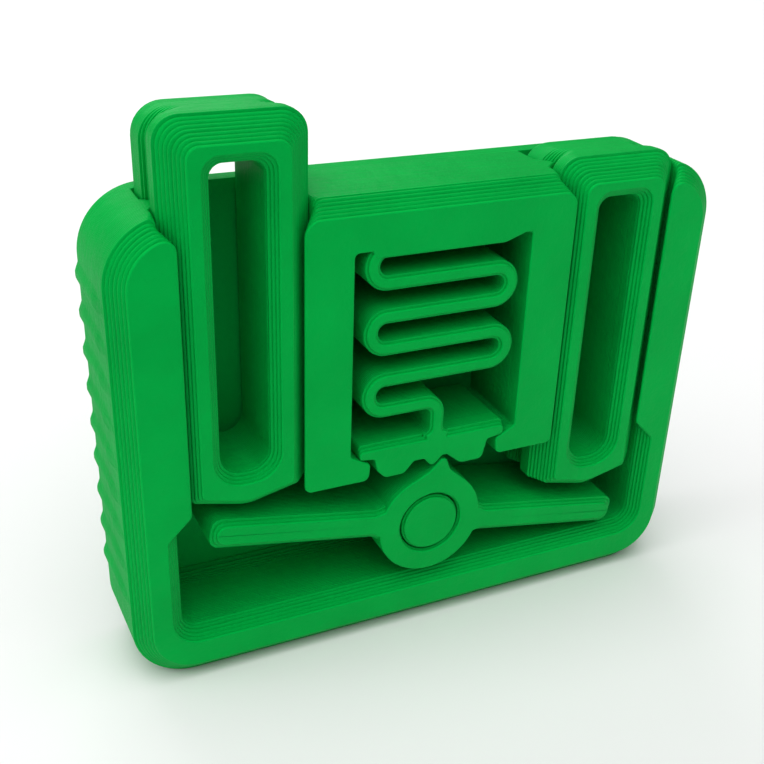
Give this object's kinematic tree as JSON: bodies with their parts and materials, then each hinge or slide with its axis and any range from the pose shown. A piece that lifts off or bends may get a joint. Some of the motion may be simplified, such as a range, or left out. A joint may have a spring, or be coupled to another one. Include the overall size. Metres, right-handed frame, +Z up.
{
  "type": "rocker clicker fidget toy",
  "caption": "Pocket clicker: slotted buttons slide in a ribbed frame, joined by a rocker that a cam on a serpentine spring holds in either of its end positions.",
  "frame": {"origin": "middle of the footprint, on the surface it stands on", "axes": "+X along the length, to the right seen from the open front; +Y from the open front to the closed back; +Z up, the way the buttons slide"},
  "size_m": [0.0478, 0.0084, 0.0419],
  "materials": {
    "green_print": "satin 3-D printed plastic with fine layer lines"
  },
  "bodies": {
    "frame": {"back_plate": "green_print", "base_rail": "green_print", "left_wall": "green_print", "right_wall": "green_print", "center_tower": "green_print", "pivot_pin": "green_print", "serpentine_spring": "green_print"},
    "cam": {"detent_cam": "green_print"},
    "rocker": {"rocker_lever": "green_print"},
    "left_slider": {"left_button": "green_print"},
    "right_slider": {"right_button": "green_print"}
  },
  "joints": [
    {"name": "rocker_turn", "type": "hinge", "parent": "frame", "child": "rocker", "pos_m": [0, 0, 0.00918], "axis": [0, -1, 0], "range_deg": [0, 20.45]},
    {"name": "left_button_slide", "type": "slide", "parent": "frame", "child": "left_slider", "axis": [0, 0, 1], "range_m": [-0.00505, 0]},
    {"name": "right_button_slide", "type": "slide", "parent": "frame", "child": "right_slider", "axis": [0, 0, 1], "range_m": [0, 0.00506]},
    {"name": "cam_lift", "type": "slide", "parent": "frame", "child": "cam", "axis": [0, 0, 1], "range_m": [0, 0.0006], "stiffness_N_per_m": 400, "deforming": ["serpentine_spring"]}
  ],
  "couplings": [
    {"joint": "rocker_turn", "follows": "left_button_slide", "rad_per_m": -70.5},
    {"joint": "right_button_slide", "follows": "left_button_slide", "ratio": -1}
  ]
}
